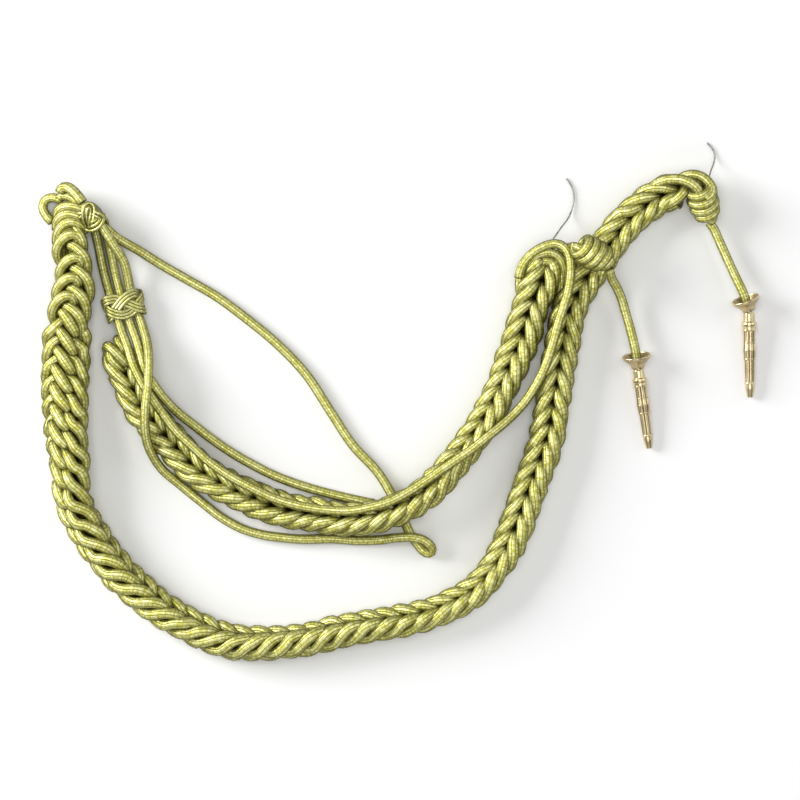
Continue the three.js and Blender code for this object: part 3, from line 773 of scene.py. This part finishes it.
outer_turns = coiled(
    (698.6, 186.6, 12.4), (708, 219, 6.8), [0, 0.2, 0.45, 0.75, 1], [4, 6, 6.3, 5.2, 2.4],
    turns=4.5, hand=1, lean=0.4,
)
inner_turns = coiled(
    (577.6, 246.6, 23.4), (606.6, 262.6, 20.4), [0, 0.2, 0.5, 0.8, 1], [4.4, 5.8, 6.4, 5.6, 2.4],
    turns=4.6, hand=-1, lean=0.25,
)
inner_coil = [shell(*tube(inner_turns, CORD)), laid(INNER_STUB)]
piece("outer_coil_turns", [shell(*tube(outer_turns, CORD))], GOLD_THREAD, ["outer_coil_knot"])
piece("inner_coil_turns", inner_coil, GOLD_THREAD, ["inner_coil_knot"])

# Turk's head knots: how often a ply goes round, the steps of its path and the sides of its rings.
LEADS = 3
KNOT_STEPS = 360
KNOT_SIDES = 10

# The bundle's cords lie this many diameters apart, the plies this many ply widths, and the plies
# clear the cords by this much.
CORDS_APART = 1.1
PLIES_APART = 0.96
KNOT_CLEARANCE = 0.3 * MM

# How high a lead lies in the knot's wall: shares of the wall for its middle and its swing, and how
# far the whole weave is sunk.
WEAVE_MIDDLE = 0.36
WEAVE_SWING = 0.34
WEAVE_SUNK = 0.2 * MM


def turks_head(at, heading, cords, length, wall, bights, plies, ply_width):
    """A Turk's head knot of parallel plies round a flat bundle of cords.

    Each ply goes LEADS times round while it swings from end to end bights times: with t from 0 to 1
    it is LEADS t girths round, cos(2 pi bights t) of its reach along and sin(4 pi bights t) of its
    swing above the weave's middle. The girth is a slot with round ends.
    """
    along, side, up = axes(np.array(heading) * (1, -1, 1))
    t = np.linspace(0, 1, KNOT_STEPS, endpoint=False)
    slot = (cords - 1) * CORD * CORDS_APART / 2
    bore = CORD / 2 + KNOT_CLEARANCE + ply_width / 2
    straight = 2 * slot
    bend = math.pi * (bore + wall * MM / 2)
    girth = 2 * (straight + bend)
    tubes = []
    for ply in range(plies):
        offset = (ply - (plies - 1) / 2) * ply_width * PLIES_APART
        swing = 2 * math.pi * bights * t
        reach = length * MM / 2 - ply_width / 2 - (plies - 1) * ply_width * PLIES_APART / 2
        y = reach * np.cos(swing)
        go = LEADS * t * girth
        # Moves the ply sideways, square to its direction on the unrolled surface.
        dy = np.gradient(y, t)
        dx = np.full_like(y, LEADS * girth)
        norm = np.hypot(dx, dy)
        y = y + offset * dx / norm
        go = (go - offset * dy / norm) % girth
        rise = bore + wall * MM * (WEAVE_MIDDLE + WEAVE_SWING * np.sin(2 * swing)) - WEAVE_SUNK
        x, z = slot_point(go, slot, bend, rise)
        middle = place([at])[0]
        path = middle + side * x[:, None] + up * z[:, None] + along * y[:, None]
        path = np.vstack([path, path[:1]])
        tubes.append(shell(*tube(path, ply_width, KNOT_SIDES)))
    return tubes


def slot_point(go, slot, bend, rise):
    """A point at rise from the middle line of a slot, go metres round its girth from the top's
    middle."""
    straight = 2 * slot
    quarter = [slot, slot + bend, slot + bend + straight, slot + 2 * bend + straight]
    turn1 = np.clip((go - quarter[0]) / bend, 0, 1) * math.pi
    turn2 = np.clip((go - quarter[2]) / bend, 0, 1) * math.pi
    flat1 = np.clip(go, 0, quarter[0])
    flat2 = np.clip(go - quarter[1], 0, straight)
    flat3 = np.clip(go - quarter[3], 0, slot)
    angle = turn1 + turn2
    x = flat1 - flat2 + flat3
    return x + np.sin(angle) * rise, np.cos(angle) * rise


# The small knot's plies lie in lobes over a packed core: the count of plies in a lobe and the lobe's
# middle line.
SMALL_KNOT_LOBES = [
    (2, [(75.8, 217.8, 11.6), (79, 216.2, 13.6), (83, 215.4, 15.4), (87, 216, 16)]),
    (2, [(93, 212.5, 17.6), (96.4, 214.4, 19.6), (102, 217.4, 18.8), (105.8, 222, 14), (106, 227, 8)]),
    (3, [(102.6, 214.5, 15.6), (101.4, 219.5, 18.6), (99.4, 223.6, 19.2), (95, 226.6, 18.6),
         (90, 227.6, 15), (87, 226, 11)]),
    (2, [(88.4, 228, 10), (86.6, 222.6, 17), (86, 215, 20), (87.4, 208.6, 20.4), (90.4, 205.8, 19.6),
         (93, 207.6, 19), (93.8, 214, 19.4), (92.6, 221, 19), (90.6, 226.4, 15)]),
]
SMALL_KNOT_CORE = [
    (87, 206.5, 13.4), (91, 211.6, 13.6), (95, 217, 13.6), (99, 222.4, 13.6), (102, 226, 13.4),
]

# A ply's diameter, how far apart plies lie in a lobe's middle, and the share of that at its ends.
PLY = 1.8 * MM
PLY_SPACING = 2.15 * MM
END_SPACING = 0.6

# The packed core: its diameter, shares of that at its ends and gained in its middle, its sides and
# its painted light.
SMALL_CORE = 10 * MM
SMALL_CORE_END = 0.75
SMALL_CORE_SWELL = 0.3
SMALL_CORE_SIDES = 16
# The core gets painted shade, dark under the knot's lobes.
SMALL_CORE_PAINTED_LIGHT = 0.25


def side_by_side(count, route):
    """Thin cords side by side: each is the route moved sideways on the plan, and they close up a
    little towards both ends."""
    path = evenly(place(route), THIN_GAP)
    along = np.gradient(path, axis=0)
    side = unit(np.cross(along, (0, 0, 1)))
    close = END_SPACING + (1 - END_SPACING) * np.sin(math.pi * np.linspace(0, 1, len(path)))
    offsets = (np.arange(count) - (count - 1) / 2) * PLY_SPACING
    paths = [path + side * (offset * close)[:, None] for offset in offsets]
    return [shell(*tube(ply_path, PLY, THIN_SIDES)) for ply_path in paths]


core_path = evenly(place(SMALL_KNOT_CORE))
core_swell = SMALL_CORE_END + SMALL_CORE_SWELL * np.sin(math.pi * np.linspace(0, 1, len(core_path)))
core_grid, core_run = tube(core_path, SMALL_CORE, SMALL_CORE_SIDES, core_swell)
small_knot = [shell(core_grid, core_run, np.full(core_grid.shape[:2], SMALL_CORE_PAINTED_LIGHT))]
for ply_count, lobe in SMALL_KNOT_LOBES:
    small_knot += side_by_side(ply_count, lobe)
piece("small_knot_plies", small_knot, GOLD_PLY, ["small_slide_knot"])

large_knot = turks_head(
    (123.8, 305.5, 6.6), (5, 19, 0), cords=3, length=14.8, wall=2.5, bights=4, plies=3,
    ply_width=1.75 * MM,
)
piece("large_knot_plies", large_knot, GOLD_PLY, ["large_slide_knot"])

# Turned metal: sides of a ring, how near a corner its shading stays in millimetres, and the length
# of a repeat of its pattern.
TURNED_SIDES = 48
CORNER = 0.12
TURNED_REPEAT = 6 * MM


def supported(outline):
    """The outline with two more points on each of its lines, near the line's ends or at its thirds,
    so that its smooth shading turns only there."""
    start, end = outline[:-1], outline[1:]
    long = np.hypot(*(end - start)[:, :2].T)[:, None]
    step = np.minimum(CORNER / long, 1 / 3) * (end - start)
    spots = np.stack([start, start + step, end - step], 1)
    return np.vstack([spots.reshape(-1, outline.shape[1]), end[-1:]])


def turned(start, heading, profile, flutes=0, depth=0.0, fluted=(0, 0)):
    """A turned metal piece: its profile carried round its axis.

    The profile is (along, radius) in millimetres, with its painted light as a third number where it
    matters. Where it is fluted the radius is less by depth times the eighth power of the sine of
    half the flutes' angle, and the grooves get painted shade as deep.
    """
    start = place([start])[0]
    along, side, up = axes(heading)
    profile = supported(np.array(profile, float))
    shade = profile[:, 2:] if profile.shape[1] == 3 else 1
    profile = profile[:, :2] * MM
    a = np.linspace(0, 2 * math.pi, TURNED_SIDES, endpoint=False)
    at, radius = profile[:, :1], profile[:, 1:]
    grooved = ((at > fluted[0] * MM) & (at < fluted[1] * MM)) * np.sin(flutes * a / 2)[None] ** 8
    radius = np.maximum(radius - grooved * depth * MM, 0)
    ring = np.cos(a)[None, :, None] * side - np.sin(a)[None, :, None] * up
    grid = start + at[..., None] * along + radius[..., None] * ring
    return shell(grid, lengths(profile) / TURNED_REPEAT, shade * (1 - grooved))


# The bell cap: along, radius and painted light. Its cup has painted shade inside and on its body, and none
# at its rim.
CAP_OUTLINE = [
    (4.4, 0.01, 0.2), (4.4, 3.2, 0.2), (3.6, 4.0, 0.3), (0.4, 6.9, 0.6), (0, 7.1, 1), (-0.1, 7.35, 1),
    (0, 7.6, 1), (0.3, 7.75, 1), (0.9, 7.7, 0.9), (1.3, 7.4, 0.6), (2.0, 6.9, 0.5), (2.6, 6.35, 0.55),
    (3.4, 5.5, 0.65), (4.2, 4.8, 0.75), (5.0, 4.3, 0.8), (6.0, 3.7, 0.7), (7.0, 3.3, 0.5),
    (7.0, 0.01, 0.5),
]

# The point, with its collars: along and radius.
TAG_OUTLINE = [
    (0, 0.01), (0, 1.5), (0.4, 1.5), (0.4, 2.9), (0.7, 3.05), (4.8, 3.1), (5.1, 3.5), (5.5, 3.85),
    (6.4, 3.95), (7.3, 3.85), (7.8, 3.5), (9.2, 3.5), (9.3, 3.85), (9.6, 4), (9.9, 3.85), (10, 3.2),
    (13, 3.12), (16, 3.1), (16.1, 3.25), (16.4, 3.3), (16.7, 3.15), (18.6, 3.3), (20.1, 3.4),
    (20.2, 3.5), (20.6, 3.5), (20.7, 3.35), (22.6, 3.2), (24.5, 3.05), (24.6, 3.2), (25, 3.25),
    (25.3, 3.1), (25.4, 2.8), (31, 2.7), (37.3, 2.55), (37.4, 2.75), (37.8, 2.85), (38.1, 2.7),
    (38.3, 2.45), (40.6, 2.4), (41, 2.3), (41.3, 2.2), (44.8, 1.6), (45.3, 1.45), (45.4, 1.3),
    (45.4, 0.01),
]

# The point's length, where its flutes run and how deep, how far its tip lies below its root, and
# the cap's downward tilt in degrees. Lengths are in millimetres.
TAG_LENGTH = 45.4
FLUTED_FROM = 9.95
FLUTED_TO = 37.35
FLUTES = 7
FLUTE_DEPTH = 0.4
TAG_DIP = 3.75
CAP_TILT = 14


def metal_tag(name, cap_from, cap_heading, tag_from, heading, stretch):
    """A bell cap and a fluted point of stretch times the usual length, laid as their nodes are."""
    tilt = math.tan(math.radians(CAP_TILT)) * math.hypot(*cap_heading)
    cap = turned(cap_from, (cap_heading[0], -cap_heading[1], -tilt), CAP_OUTLINE)
    dip = TAG_DIP / TAG_LENGTH / stretch * math.hypot(*heading)
    outline = np.array(TAG_OUTLINE) * (stretch, 1)
    fluted = (FLUTED_FROM * stretch, FLUTED_TO * stretch)
    point = turned(tag_from, (heading[0], -heading[1], -dip), outline, FLUTES, FLUTE_DEPTH, fluted)
    caps = piece(name + "_cap_gilt", [cap], GILT, [name + "_tag_cap"])
    points = piece(name + "_point_gilt", [point], GILT, [name + "_tag"])
    return [caps, points]


outer_tag = metal_tag("outer", (745.3, 298.6, 7.8), (10, 29), (749.4, 312, 5.9), (1.5, 86), 1)
inner_tag = metal_tag("inner", (636.4, 355.4, 7.8), (4, 28), (638.4, 369.2, 5.9), (11.5, 79), 0.94)
free_cord("outer_tag_cord", OUTER_TAG_CORD)
free_cord("inner_tag_cord", INNER_TAG_CORD)

# Wire ends.
OUTER_WIRE = place([
    (708.8, 176.8, 11.4), (711, 170.4, 8), (713.6, 164.6, 3.6), (715.6, 157, 1), (714.4, 150, 0.7),
    (708, 142, 0.7),
])
INNER_WIRE = place([
    (552.4, 239.9, 14.1), (561.6, 227, 8.4), (569.5, 216, 2), (574, 202, 0.8), (573, 188, 0.7),
    (567, 177.7, 0.7),
])
for name, route in (("outer_wire", OUTER_WIRE), ("inner_wire", INNER_WIRE)):
    thread = laid(route, WIRE, THIN_GAP, THIN_SIDES)
    piece(name + "_thread", [thread], DARK_WIRE, [name + "_end"])
